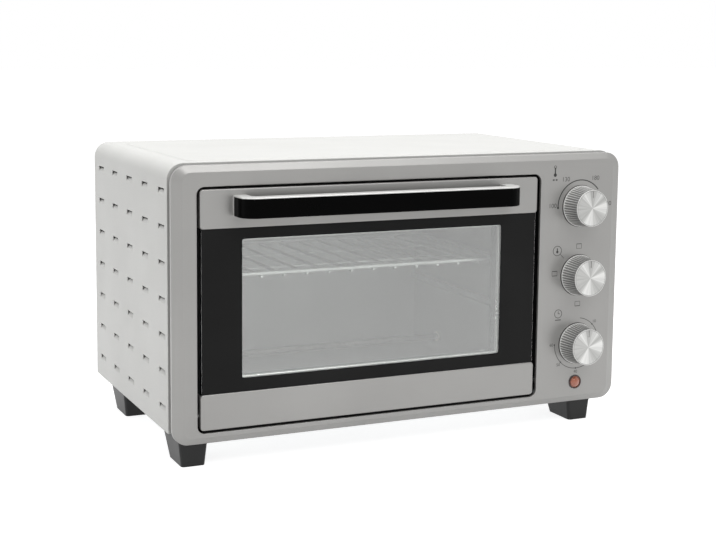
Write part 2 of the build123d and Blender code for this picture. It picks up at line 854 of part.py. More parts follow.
def make_thermostat():
    """Small case with a round capsule on its back and a terminal above each side of it."""
    z = knob_heights["temperature"]
    width, depth, height = thermostat_size
    back = frame_plate_back + depth
    case = control_case(z, thermostat_size)
    case += rod_y(control_x, z, back - 1, back + thermostat_capsule, thermostat_capsule_radius)
    case += [blade(control_x + side * width / 3, z + height / 3, back) for side in (-1, 1)]
    return case - shaft_bore(z)


def make_function_switch():
    """Square rotary switch with blade terminals at the back."""
    z = knob_heights["function"]
    width, depth, height = switch_size
    case = control_case(z, switch_size)
    case += [blade(control_x + column * width / 4, z + row * height / 3, frame_plate_back + depth)
             for column in (-1, 0, 1) for row in (-1, 1)]
    return case - shaft_bore(z)


def make_timer():
    """Clockwork case with its bell on the back."""
    z = knob_heights["timer"]
    back = frame_plate_back + timer_size[1]
    stem = rod_y(control_x, z, back - 1, back + bell_stem, bell_stem_radius)
    rim = back + bell_stem / 3
    top = back + bell_stem
    bell = turned([(0, top - 1), (bell_radius, rim), (bell_radius, rim + 1), (0, top)], control_x, z)
    return control_case(z, timer_size) + stem + bell - shaft_bore(z)


def make_lamp_holder():
    """Tube that clips into the frame behind the lens."""
    tube = rod_y(lamp_x, lamp_z, 0, lamp_body_length, lamp_body_radius)
    return tube - rod_y(lamp_x, lamp_z, -1, lamp_body_length - lamp_bottom, lens_radius + fit_gap)


def make_lamp_bezel():
    """Thin ring round the lens, on the fascia's face."""
    rim = rod_y(lamp_x, lamp_z, -bezel_reach, 0, bezel_radius)
    return rim - rod_y(lamp_x, lamp_z, -bezel_reach - 1, 1, lens_radius + fit_gap)


def make_lamp_lens():
    """Domed lens with a short barrel."""
    dome_radius = (lens_radius ** 2 + lens_reach ** 2) / (2 * lens_reach)
    ball = Pos(lamp_x, -lens_reach + dome_radius, lamp_z) * Sphere(dome_radius)
    dome = ball & rod_y(lamp_x, lamp_z, -lens_reach - 1, 0, lens_radius)
    return dome + rod_y(lamp_x, lamp_z, -bezel_reach / 2, lens_barrel, lens_radius)


def foot_spans():
    """Bottom and top stretch in depth of a front foot and of a rear foot."""
    front = (front_foot_y, front_foot_y + foot_bottom_length)
    front_top = (front_foot_y - foot_lead_front, front[1] + foot_taper_inner)
    rear = (rear_foot_back - foot_bottom_length, rear_foot_back)
    rear_top = (rear[0] - foot_lead_rear, rear[1] + foot_taper_inner)
    return {"front": (front, front_top), "rear": (rear, rear_top)}


def foot_screw_places():
    """Places of the four foot screws, clear of the front frame."""
    inset = foot_bottom_length / 2 + foot_screw_offset
    ys = (front_foot_y + inset, rear_foot_back - inset)
    return [(x, y) for x in (foot_left_x, foot_right_x) for y in ys]


def make_foot(x, spans):
    """Tapered moulded foot with a deep hole for its screw."""
    (bottom0, bottom1), (top0, top1) = spans
    low = Plane(origin=(x, (bottom0 + bottom1) / 2, -foot_height)) * RectangleRounded(
        foot_bottom_width, bottom1 - bottom0, foot_corner)
    high = Plane(origin=(x, (top0 + top1) / 2, cover_bottom)) * RectangleRounded(
        foot_top_width, top1 - top0, foot_corner)
    foot = loft([low, high], ruled=True)
    notch_bottom = frame_bottom - foot_notch_gap
    foot -= block(x - foot_top_width, x + foot_top_width, 0, recess_back, notch_bottom, cover_bottom + 1)
    for screw_x, screw_y in foot_screw_places():
        foot -= rod_z(screw_x, screw_y, -foot_height - 1, -foot_height + foot_counterbore,
                      foot_screw_head + foot_counterbore_gap)
        foot -= rod_z(screw_x, screw_y, -foot_height, cover_bottom + 1, foot_screw_radius + fit_gap)
    return foot


def make_foot_screws():
    """Pan-head screws up through the feet into the base pan."""
    seat = -foot_height + foot_counterbore
    screws = []
    for x, y in foot_screw_places():
        shank = rod_z(x, y, seat - 1, cover_bottom + frame_sheet + foot_screw_beyond, foot_screw_radius)
        screws.append(shank + rod_z(x, y, seat - foot_screw_head_height, seat, foot_screw_head))
    return Compound(screws)


def save(name, piece):
    """Write one piece in the part's own frame."""
    export_step(Pos(0, front_y, foot_height) * piece, f"parts/{name}.step")


os.makedirs("parts", exist_ok=True)

save("outer_cover", make_outer_cover())
save("fascia", make_fascia())
save("front_frame", make_front_frame())
save("base_pan", make_base_pan())
save("back_panel", make_back_panel())
save("cord_gland", make_cord_gland())
save("cavity_liner", make_cavity_liner())
save("heat_shield", make_heat_shield())
save("element_insulators", make_element_insulators())
for height_name, element_z in (("upper", upper_element_z), ("lower", lower_element_z)):
    for depth_name, element_y in zip(("front", "rear"), element_rows_y):
        save(f"{height_name}_{depth_name}_element", make_heating_element(element_y, element_z))
save("wire_rack", make_wire_rack())

save("door_top_trim", make_door_top_trim())
save("door_bottom_trim", make_door_bottom_trim())
save("door_glass", make_door_glass())
save("door_inner_frame", make_door_inner_frame())
handle_body, handle_strip = make_handle_solids()
save("handle", handle_body)
save("handle_insert", handle_strip)
save("handle_screws", make_handle_screws())
left_pin, right_pin = make_hinge_pins()
save("hinge_pin_left", left_pin)
save("hinge_pin_right", right_pin)
save("hinge_bracket_left", make_hinge_bracket(recess_left - frame_sheet - bracket_thickness))
save("hinge_bracket_right", make_hinge_bracket(recess_right + frame_sheet))

for knob_name, knob_z in knob_heights.items():
    save(f"{knob_name}_knob", make_knob(knob_z))
    save(f"{knob_name}_knob_cap", make_knob_cap(knob_z))
    save(f"{knob_name}_shaft", make_shaft(knob_z))
save("thermostat", make_thermostat())
save("function_switch", make_function_switch())
save("timer", make_timer())
save("lamp_holder", make_lamp_holder())
save("lamp_bezel", make_lamp_bezel())
save("lamp_lens", make_lamp_lens())

for side_name, foot_x in (("left", foot_left_x), ("right", foot_right_x)):
    for end_name, foot_span in foot_spans().items():
        save(f"{end_name}_{side_name}_foot", make_foot(foot_x, foot_span))
save("foot_screws", make_foot_screws())
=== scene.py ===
"""Mini oven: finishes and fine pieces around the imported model, with a plain studio.

Lengths are in millimetres in the classes' fields and in metres in Blender.
"""

import json
import logging
import math
from dataclasses import dataclass
from enum import Enum

import bmesh
import bpy
from mathutils import Matrix, Vector

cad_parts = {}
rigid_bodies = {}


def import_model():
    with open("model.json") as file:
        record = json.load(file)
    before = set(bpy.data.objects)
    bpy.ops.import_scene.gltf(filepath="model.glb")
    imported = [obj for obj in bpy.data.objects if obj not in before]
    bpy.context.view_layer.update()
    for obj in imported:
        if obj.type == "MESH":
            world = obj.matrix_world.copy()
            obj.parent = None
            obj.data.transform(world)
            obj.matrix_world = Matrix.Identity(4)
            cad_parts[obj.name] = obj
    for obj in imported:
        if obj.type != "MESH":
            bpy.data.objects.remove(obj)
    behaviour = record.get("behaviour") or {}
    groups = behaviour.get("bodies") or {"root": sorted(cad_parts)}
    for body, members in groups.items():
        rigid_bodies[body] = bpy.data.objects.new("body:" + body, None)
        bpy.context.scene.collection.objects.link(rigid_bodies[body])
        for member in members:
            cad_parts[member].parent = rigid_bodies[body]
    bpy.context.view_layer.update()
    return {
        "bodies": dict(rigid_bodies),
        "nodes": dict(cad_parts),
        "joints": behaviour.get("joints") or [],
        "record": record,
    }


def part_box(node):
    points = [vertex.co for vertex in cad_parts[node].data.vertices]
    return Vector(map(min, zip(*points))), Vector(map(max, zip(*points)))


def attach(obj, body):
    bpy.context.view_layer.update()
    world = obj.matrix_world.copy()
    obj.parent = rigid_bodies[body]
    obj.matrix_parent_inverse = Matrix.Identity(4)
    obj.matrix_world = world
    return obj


MM = 0.001
KNOBS = ("temperature", "function", "timer")
IMAGE_WIDTH = 716
SENSOR_MM = 36.0
WHITE = (1.0, 1.0, 1.0, 1.0)

# The knobs' radius narrows by this much to the front. The handle's silver covers its top rim and its roots.
KNOB_TAPER = 2.4
SILVER_RIM = 1.2
SILVER_ROOT = 2.5

# A finish's fine grain is weighed against broad patches about 70 mm across.
BROAD_SCALE = 14.0
GRAIN_SHARE = 0.6
GRAIN_ROUGHNESS = 0.6
MIXED_LOW = 0.45
MIXED_HIGH = 1.15
DRAWN_STRETCH = 0.02
EDGE_SAMPLES = 8
COAT_ROUGHNESS = 0.08
SHEEN_ROUGHNESS = 0.25

Tree = bpy.types.NodeTree
Socket = bpy.types.NodeSocket
Shape = bmesh.types.BMesh
Loop = list[tuple[float, float]]

log = logging.getLogger("mini_oven")


def linear(colour: str) -> tuple[float, float, float, float]:
    """Turn an sRGB hex colour into linear values.

    Args:
        colour: Six hex digits.

    Returns:
        Red, green and blue, and 1 for opaque.
    """
    parts = []
    for start in (0, 2, 4):
        value = int(colour[start:start + 2], 16) / 255
        parts.append(value / 12.92 if value <= 0.04045 else ((value + 0.055) / 1.055) ** 2.4)
    return (*parts, 1.0)


def add_node(
    tree: Tree, kind: str, settings: dict | None = None, inputs: dict | None = None,
) -> bpy.types.Node:
    """Add a node with its settings and links.

    Args:
        tree: Tree that gets the node.
        kind: Blender's name of the node type.
        settings: Attribute names and values.
        inputs: Socket names or numbers, each with a value or with the socket that feeds it.

    Returns:
        The new node.
    """
    node = tree.nodes.new(kind)
    for name, value in (settings or {}).items():
        setattr(node, name, value)
    for key, value in (inputs or {}).items():
        if isinstance(value, bpy.types.NodeSocket):
            tree.links.new(value, node.inputs[key])
        else:
            node.inputs[key].default_value = value
    return node


def new_material(name: str) -> tuple[bpy.types.Material, Tree]:
    """Make a material without nodes.

    Args:
        name: Its name.

    Returns:
        The material and its empty tree.
    """
    material = bpy.data.materials.new(name)
    material.use_nodes = True
    tree = material.node_tree
    tree.nodes.clear()
    return material, tree


def object_place(tree: Tree) -> Socket:
    """Object coordinates, in metres."""
    return add_node(tree, "ShaderNodeTexCoord").outputs["Object"]


def noise(tree: Tree, place: Socket, scale: float, detail: float, roughness: float = 0.5) -> Socket:
    """Add a noise.

    Args:
        tree: Tree that gets it.
        place: Coordinates.
        scale: Features for each unit of the coordinates.
        detail: Octaves.
        roughness: Weight of the finer octaves.

    Returns:
        Value from 0 to 1.
    """
    inputs = {"Vector": place, "Scale": scale, "Detail": detail, "Roughness": roughness}
    return add_node(tree, "ShaderNodeTexNoise", {}, inputs).outputs["Fac"]


def calculate(tree: Tree, operation: str, *values: Socket | float) -> Socket:
    """Result of one math node on the values, in order."""
    return add_node(tree, "ShaderNodeMath", {"operation": operation}, dict(enumerate(values))).outputs[0]


def map_range(tree: Tree, value: Socket, low: float, high: float, first: float, last: float) -> Socket:
    """Carry a value from one range to another.

    Args:
        tree: Tree that gets the node.
        value: The value.
        low: Start of its range.
        high: End of its range.
        first: Result at the start.
        last: Result at the end.

    Returns:
        The result, kept between first and last.
    """
    inputs = {0: value, 1: low, 2: high, 3: first, 4: last}
    return add_node(tree, "ShaderNodeMapRange", {}, inputs).outputs[0]


def mix_colours(tree: Tree, share: Socket, first: str, second: str) -> Socket:
    """Blend two sRGB hex colours, the second by its share."""
    inputs = {0: share, 6: linear(first), 7: linear(second)}
    return add_node(tree, "ShaderNodeMix", {"data_type": "RGBA"}, inputs).outputs[2]


def relief_normal(
    tree: Tree, height: Socket, depth_mm: float, strength: float = 1.0, normal: Socket | None = None,
) -> Socket:
    """Turn a height pattern into a normal.

    Args:
        tree: Tree that gets the node.
        height: Pattern from 0 to 1.
        depth_mm: Its real depth.
        strength: Share of the effect.
        normal: Normal to start from, or None for the mesh's own.

    Returns:
        The normal.
    """
    inputs = {"Strength": strength, "Distance": depth_mm * MM, "Height": height}
    if normal is not None:
        inputs["Normal"] = normal
    return add_node(tree, "ShaderNodeBump", {}, inputs).outputs["Normal"]


def show(tree: Tree, shader: bpy.types.Node) -> None:
    """Feed a shader to the material's output."""
    add_node(tree, "ShaderNodeOutputMaterial", {}, {"Surface": shader.outputs[0]})


class Grain(Enum):
    """How a surface was made, which sets its fine relief."""

    POWDER = "orange peel of baked powder coat"
    LACQUER = "fine flake of metallic lacquer"
    SPANGLE = "crystals of hot-dip zinc"
    DRAWN = "lines left along a rolled sheet"
    MOULDED = "spark-eroded mould texture"
    SMOOTH = "polished or glazed, with faint unevenness"


@dataclass(frozen=True)
class Finish:
    """One finish: a real material and how its surface was made."""

    name: str
    colour: str
    shade: str
    grain: Grain
    grain_mm: float
    relief_mm: float
    roughness: float
    spread: float = 0.06
    metallic: float = 0.0
    specular: float = 0.5
    coat: float = 0.0
    sheen: float = 0.0
    edge_mm: float = 0.0

    def relief(self, tree: Tree, place: Socket) -> Socket:
        """Height pattern from 0 to 1 at the grain's real size.

        Args:
            tree: The material's tree.
            place: Object coordinates, in metres.

        Returns:
            Socket that carries the pattern.
        """
        scale = 1.0 / (self.grain_mm * MM)
        if self.grain is Grain.SPANGLE:
            inputs = {"Vector": place, "Scale": scale}
            return add_node(tree, "ShaderNodeTexVoronoi", {"feature": "F1"}, inputs).outputs["Color"]
        if self.grain is Grain.DRAWN:
            stretched = {"Vector": place, "Scale": (DRAWN_STRETCH, 1.0, 1.0)}
            place = add_node(tree, "ShaderNodeMapping", {}, stretched).outputs["Vector"]
        detail = 4.0 if self.grain in (Grain.LACQUER, Grain.MOULDED) else 2.0
        return noise(tree, place, scale, detail, GRAIN_ROUGHNESS)

    def build(self) -> bpy.types.Material:
        """Make the material.

        Returns:
            The finished material.
        """
        material, tree = new_material(self.name)
        place = object_place(tree)
        fine = self.relief(tree, place)
        broad = noise(tree, place, BROAD_SCALE, 2.0)
        mixed = calculate(tree, "MULTIPLY_ADD", fine, GRAIN_SHARE, broad)
        tone = map_range(tree, mixed, MIXED_LOW, MIXED_HIGH, 0.0, 1.0)
        rough = self.roughness + self.spread
        smooth = self.roughness - self.spread
        dull = map_range(tree, mixed, MIXED_LOW, MIXED_HIGH, rough, smooth)
        soft = None
        if self.edge_mm:
            inputs = {"Radius": self.edge_mm * MM}
            soft = add_node(tree, "ShaderNodeBevel", {"samples": EDGE_SAMPLES}, inputs).outputs["Normal"]
        show(tree, add_node(tree, "ShaderNodeBsdfPrincipled", {}, {
            "Base Color": mix_colours(tree, tone, self.shade, self.colour),
            "Roughness": dull,
            "Metallic": self.metallic,
            "Specular IOR Level": self.specular,
            "Coat Weight": self.coat,
            "Coat Roughness": COAT_ROUGHNESS,
            "Sheen Weight": self.sheen,
            "Sheen Roughness": SHEEN_ROUGHNESS,
            "Normal": relief_normal(tree, fine, self.relief_mm, normal=soft),
        }))
        return material


@dataclass(frozen=True)
class TwoToneLacquer:
    """Moulded handle, sprayed black over its sides and silver over its top edge."""

    name: str
    silver_from_z: float
    silver_from_y: float
    black: str = "010101"
    silver: str = "d6d6d4"
    silver_metallic: float = 0.35
    gloss: float = 0.03
    flake_scale: float = 2500.0
    flake_mm: float = 0.002

    def build(self) -> bpy.types.Material:
        """Make the material.

        Returns:
            The finished material.
        """
        material, tree = new_material(self.name)
        place = object_place(tree)
        parts = add_node(tree, "ShaderNodeSeparateXYZ", {}, {"Vector": place})
        high = calculate(tree, "GREATER_THAN", parts.outputs["Z"], self.silver_from_z)
        deep = calculate(tree, "GREATER_THAN", parts.outputs["Y"], self.silver_from_y)
        silvered = calculate(tree, "MAXIMUM", high, deep)
        flake = noise(tree, place, self.flake_scale, 3.0)
        show(tree, add_node(tree, "ShaderNodeBsdfPrincipled", {}, {
            "Base Color": mix_colours(tree, silvered, self.black, self.silver),
            "Roughness": map_range(tree, flake, 0.0, 1.0, 0.24, 0.36),
            "Metallic": calculate(tree, "MULTIPLY", silvered, self.silver_metallic),
            "Specular IOR Level": self.gloss,
            "Normal": relief_normal(tree, flake, self.flake_mm, strength=0.5),
        }))
        return material


@dataclass(frozen=True)
class SpunDisc:
    """Aluminium disc faced on a lathe, with painted highlights and shade in rays from its centre."""

    name: str
    centre_x: float
    centre_z: float
    dark: str = "a3a3a1"
    light: str = "dededc"
    turning_scale: float = 1200.0
    turning_mm: float = 0.01

    def build(self) -> bpy.types.Material:
        """Make the material, centred on one knob.

        Returns:
            The finished material.
        """
        material, tree = new_material(self.name)
        centred = flat_from_axis(tree, object_place(tree), self.centre_x, self.centre_z)
        ray = add_node(tree, "ShaderNodeVectorMath", {"operation": "NORMALIZE"}, {0: centred}).outputs[0]
        # Both noises run round the unit circle, so each value is one ray from the centre.
        broad = noise(tree, ray, 1.6, 1.0)
        fine = noise(tree, ray, 14.0, 3.0)
        rays = calculate(tree, "MULTIPLY_ADD", fine, 0.5, broad)
        # Painted highlights: the rays lighten and darken the base colour in place of the spun face's
        # reflections.
        tone = map_range(tree, rays, 0.55, 0.95, 0.0, 1.0)
        wave = {"wave_type": "RINGS", "rings_direction": "Y"}
        turning = add_node(tree, "ShaderNodeTexWave", wave, {
            "Vector": centred,
            "Scale": self.turning_scale,
            "Distortion": 0.4,
        }).outputs["Fac"]
        show(tree, add_node(tree, "ShaderNodeBsdfPrincipled", {}, {
            "Base Color": mix_colours(tree, tone, self.dark, self.light),
            "Roughness": 0.36,
            "Metallic": 0.6,
            "Normal": relief_normal(tree, turning, self.turning_mm, strength=0.35),
        }))
        return material


@dataclass(frozen=True)
class FlutedKnob:
    """Satin silver knob side, with painted shade darkening its colour down in the grooves between the bright
    ribs.
    """

    name: str
    centre_x: float
    centre_z: float
    front_y: float
    back_y: float
    front_radius: float
    back_radius: float
    groove: float = 0.55 * MM
    dark: str = "868685"
    light: str = "f6f6f4"

    def build(self) -> bpy.types.Material:
        """Make the material, centred on one knob.

        Returns:
            The finished material.
        """
        material, tree = new_material(self.name)
        place = object_place(tree)
        depth = add_node(tree, "ShaderNodeSeparateXYZ", {}, {"Vector": place}).outputs["Y"]
        centred = flat_from_axis(tree, place, self.centre_x, self.centre_z)
        reach = add_node(tree, "ShaderNodeVectorMath", {"operation": "LENGTH"}, {0: centred}).outputs["Value"]
        cone = map_range(tree, depth, self.front_y, self.back_y, self.front_radius, self.back_radius)
        sunk = calculate(tree, "SUBTRACT", cone, reach)
        # Painted shade: the colour goes dark the deeper a point lies below the cone, down in the grooves.
        tone = map_range(tree, sunk, self.groove * 0.3, self.groove, 1.0, 0.0)
        fine = noise(tree, place, 350.0, 2.0)
        show(tree, add_node(tree, "ShaderNodeBsdfPrincipled", {}, {
            "Base Color": mix_colours(tree, tone, self.dark, self.light),
            "Roughness": map_range(tree, fine, 0.0, 1.0, 0.28, 0.40),
            "Metallic": 0.35,
            "Normal": relief_normal(tree, fine, 0.004, strength=0.5),
        }))
        return material


@dataclass(frozen=True)
class ClearGlass:
    """Tempered soda-lime glass; lamps reach through it to what is behind."""

    name: str
    colour: str
    ior: float = 1.5
    coat_ior: float = 1.85
    roughness: float = 0.0

    def build(self) -> bpy.types.Material:
        """Make the material.

        Returns:
            The finished material.
        """
        material, tree = new_material(self.name)
        # Tempering leaves the pane very slightly wavy.
        waviness = noise(tree, object_place(tree), 9.0, 0.0)
        glass = add_node(tree, "ShaderNodeBsdfPrincipled", {}, {
            "Base Color": linear(self.colour),
            "Roughness": self.roughness,
            "IOR": self.ior,
            "Transmission Weight": 1.0,
            "Coat Weight": 1.0,
            "Coat IOR": self.coat_ior,
            "Coat Roughness": 0.02,
            "Normal": relief_normal(tree, waviness, 0.05, strength=0.2),
        })
        clear = add_node(tree, "ShaderNodeBsdfTransparent", {}, {"Color": linear(self.colour)})
        shadow = add_node(tree, "ShaderNodeLightPath").outputs["Is Shadow Ray"]
        both = {0: shadow, 1: glass.outputs[0], 2: clear.outputs[0]}
        show(tree, add_node(tree, "ShaderNodeMixShader", {}, both))
        return material


def flat_from_axis(tree: Tree, place: Socket, centre_x: float, centre_z: float) -> Socket:
    """Offset from an axis along Y, with its depth taken out.

    Args:
        tree: Tree that gets the node.
        place: Object coordinates.
        centre_x: The axis.
        centre_z: The axis.

    Returns:
        The offset.
    """
    inputs = {"Vector": place, "Location": (-centre_x, 0.0, -centre_z), "Scale": (1.0, 0.0, 1.0)}
    return add_node(tree, "ShaderNodeMapping", {}, inputs).outputs["Vector"]


# Powder coat baked on steel: satin, with a soft orange peel.
COVER_ENAMEL = Finish("powder_coat_light_grey", "cfcfcc", "cbcbc8", Grain.POWDER, 1.6, 0.012, 0.40,
                      edge_mm=1.2)
# Silver lacquer on pressed steel: even grey with a very fine flake.
SILVER_LACQUER = Finish("silver_lacquer", "a09f9d", "9a9997", Grain.LACQUER, 0.5, 0.003, 0.34,
                        metallic=0.45, specular=0.7, edge_mm=1.4)
# Black paint on the frame, seen only in the gaps and round the open door.
FRAME_PAINT = Finish("black_frame_paint", "101010", "0a0a0a", Grain.POWDER, 1.2, 0.01, 0.55)
# Hot-dip zinc sheet: dull crystals of uneven tone.
ZINC_SHEET = Finish("zinc_coated_sheet", "b4b8ba", "8f9497", Grain.SPANGLE, 9.0, 0.004, 0.38, metallic=0.9)
# Aluminised sheet of the cavity: pale, soft sheen, faint rolling lines.
CAVITY_SHEET = Finish("aluminised_sheet", "b6b6b4", "acacaa", Grain.DRAWN, 0.8, 0.003, 0.48, metallic=0.3)
# Grey lacquered sheet inside the door, painted darker than the cavity as shade for the dark band seen round
# the window.
DOOR_SHEET = Finish("door_inner_sheet", "5c5c5b", "525251", Grain.DRAWN, 0.8, 0.003, 0.5, metallic=0.3)
# Turned mild steel with a zinc flash.
TURNED_STEEL = Finish("turned_steel", "b9b9b7", "9b9b99", Grain.DRAWN, 0.3, 0.004, 0.30, metallic=1.0)
# Nylon feet, gland and lamp holder: black, spark-eroded texture.
MOULDED_NYLON = Finish("moulded_black_nylon", "161616", "0e0e0e", Grain.MOULDED, 0.7, 0.03, 0.42,
                       specular=0.35, sheen=0.1, edge_mm=0.6)
# Steatite insulators: chalky white.
STEATITE = Finish("steatite_ceramic", "e2dfd6", "cfccc2", Grain.MOULDED, 0.5, 0.02, 0.7)
# Stainless element sheath, dulled by heat.
ELEMENT_SHEATH = Finish("heat_dulled_sheath", "8b8882", "706c66", Grain.DRAWN, 1.5, 0.01, 0.45,
                        metallic=0.7)
# Plated rack wire, a little dulled.
RACK_CHROME = Finish("plated_rack_wire", "c8c8c6", "b6b6b4", Grain.SMOOTH, 3.0, 0.002, 0.32, metallic=0.6)
# Piano-black strip in the handle's front.
HANDLE_BLACK = Finish("gloss_black_strip", "010101", "010101", Grain.SMOOTH, 5.0, 0.001, 0.30,
                      specular=0.03)
# Screen-printed ceramic ink on the glass: black with a fine tooth.
GLASS_PRINT = Finish("ceramic_ink_black", "1c1c1c", "121212", Grain.MOULDED, 0.9, 0.02, 0.5, specular=0.12)
# Phenolic and nylon cases of the controls.
CONTROL_CASE = Finish("phenolic_case", "b59b6d", "a28a5f", Grain.MOULDED, 0.6, 0.02, 0.55)
# Orange polycarbonate lens, clear enough to catch a highlight, and its dark ring.
LAMP_LENS = Finish("orange_polycarbonate", "c96a3e", "a84c28", Grain.SMOOTH, 3.0, 0.002, 0.10, coat=1.0)
LAMP_RING = Finish("dark_copper_ring", "4a2d25", "34201a", Grain.SMOOTH, 2.0, 0.002, 0.3)
# Dark grey printing ink on the fascia.
DIAL_INK = Finish("dial_ink", "3a3a39", "323231", Grain.LACQUER, 0.4, 0.001, 0.5)
INK_FAINT = Finish("dial_ink_thin", "545352", "4c4b4a", Grain.LACQUER, 0.4, 0.001, 0.5)
# Black ring behind each knob: painted shade for the thin dark line of shadow in the gap between knob and
# fascia.
KNOB_SHADE_RING = Finish("painted_shade_ring", "0f0f0f", "090909", Grain.MOULDED, 0.5, 0.01, 0.6)
# Polished bead that holds the pane round the window; its near-white tone is partly painted highlight for the
# bright line of light along the window's edge.
BEAD_STEEL = Finish("polished_bead", "f0f0ee", "e2e2e0", Grain.SMOOTH, 4.0, 0.001, 0.25, metallic=0.6)
DOOR_GLASS = ClearGlass("tempered_glass", "f1f4f2")

NODE_FINISHES = {
    "outer_cover": COVER_ENAMEL,
    "fascia": SILVER_LACQUER,
    "door_top_trim": SILVER_LACQUER,
    "door_bottom_trim": SILVER_LACQUER,
    "front_frame": FRAME_PAINT,
    "base_pan": ZINC_SHEET,
    "back_panel": ZINC_SHEET,
    "heat_shield": ZINC_SHEET,
    "hinge_bracket_left": ZINC_SHEET,
    "hinge_bracket_right": ZINC_SHEET,
    "cavity_liner": CAVITY_SHEET,
    "door_inner_frame": DOOR_SHEET,
    "hinge_pin_left": TURNED_STEEL,
    "hinge_pin_right": TURNED_STEEL,
    "handle_screws": TURNED_STEEL,
    "foot_screws": TURNED_STEEL,
    "cord_gland": MOULDED_NYLON,
    "lamp_holder": MOULDED_NYLON,
    "element_insulators": STEATITE,
    "upper_front_element": ELEMENT_SHEATH,
    "upper_rear_element": ELEMENT_SHEATH,
    "lower_front_element": ELEMENT_SHEATH,
    "lower_rear_element": ELEMENT_SHEATH,
    "wire_rack": RACK_CHROME,
    "door_glass": DOOR_GLASS,
    "handle_insert": HANDLE_BLACK,
    "thermostat": CONTROL_CASE,
    "function_switch": CONTROL_CASE,
    "timer": CONTROL_CASE,
    "lamp_bezel": LAMP_RING,
    "lamp_lens": LAMP_LENS,
    "temperature_shaft": TURNED_STEEL,
    "function_shaft": TURNED_STEEL,
    "timer_shaft": TURNED_STEEL,
    "front_left_foot": MOULDED_NYLON,
    "front_right_foot": MOULDED_NYLON,
    "rear_left_foot": MOULDED_NYLON,
    "rear_right_foot": MOULDED_NYLON,
}


AnyFinish = Finish | TwoToneLacquer | SpunDisc | FlutedKnob | ClearGlass


class Workshop:
    """Holds the frame and the materials that are already made."""

    def __init__(self, frame: dict) -> None:
        """Keep the frame.
        """
        self.nodes = frame["nodes"]
        self.made: dict[str, bpy.types.Material] = {}

    def material(self, finish: AnyFinish) -> bpy.types.Material:
        """Give a finish's material, made once."""
        if finish.name not in self.made:
            self.made[finish.name] = finish.build()
        return self.made[finish.name]

    def dress(self, node: str, finish: AnyFinish) -> None:
        """Put a finish on a node of the frame.

        Args:
            node: The node's name.
            finish: Its finish.
        """
        mesh = self.nodes[node].data
        mesh.materials.clear()
        mesh.materials.append(self.material(finish))
        log.info("dressed %s in %s", node, finish.name)

    def piece(
        self, name: str, shape: Shape, finish: AnyFinish, body: str, slot: str,
    ) -> bpy.types.Object:
        """Turn a finished bmesh into a piece that rides on a body.

        Args:
            name: The piece's name.
            shape: Its mesh, in metres in the frame; freed here.
            finish: Its finish.
            body: The body that carries it.
            slot: The record's material slot; not used.

        Returns:
            The new object.
        """
        mesh = bpy.data.meshes.new(name)
        shape.normal_update()
        shape.to_mesh(mesh)
        shape.free()
        mesh.materials.append(self.material(finish))
        piece = bpy.data.objects.new(name, mesh)
        bpy.context.scene.collection.objects.link(piece)
        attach(piece, body)
        log.info("made %s with %d faces on %s", name, len(mesh.polygons), body)
        return piece


def rounded_loop(
    x0: float, x1: float, z0: float, z1: float, corner: float, steps: int = 6,
) -> Loop:
    """Points round a rectangle with rounded corners, anticlockwise seen from the front.

    Args:
        x0: Left side.
        x1: Right side.
        z0: Lower side.
        z1: Upper side.
        corner: Corner radius.
        steps: Stretches in each corner.

    Returns:
        Pairs of x and z.
    """
    points = []
    centres = ((x1 - corner, z0 + corner, -90), (x1 - corner, z1 - corner, 0),
               (x0 + corner, z1 - corner, 90), (x0 + corner, z0 + corner, 180))
    for cx, cz, start in centres:
        for n in range(steps + 1):
            angle = math.radians(start + 90 * n / steps)
            points.append((cx + corner * math.cos(angle), cz + corner * math.sin(angle)))
    return points


def circle_loop(x: float, z: float, radius: float, steps: int = 64) -> Loop:
    """Points round a circle.

    Args:
        x: Centre.
        z: Centre.
        radius: Its radius.
        steps: How many points.

    Returns:
        Pairs of x and z.
    """
    angles = [2 * math.pi * n / steps for n in range(steps)]
    return [(x + radius * math.cos(angle), z + radius * math.sin(angle)) for angle in angles]


def closed_ring(shape: Shape, rows: list) -> None:
    """Add a closed ring through loops of as many points.

    Args:
        shape: Mesh that gets the ring.
        rows: Loops of x and z, each with its depth, in order round the ring's section.
    """
    made = [[shape.verts.new((x, y, z)) for x, z in loop] for loop, y in rows]
    count = len(made[0])
    for a, b in zip(made, made[1:] + made[:1]):
        for n in range(count):
            m = (n + 1) % count
            shape.faces.new((a[n], a[m], b[m], b[n]))
    bmesh.ops.recalc_face_normals(shape, faces=shape.faces)


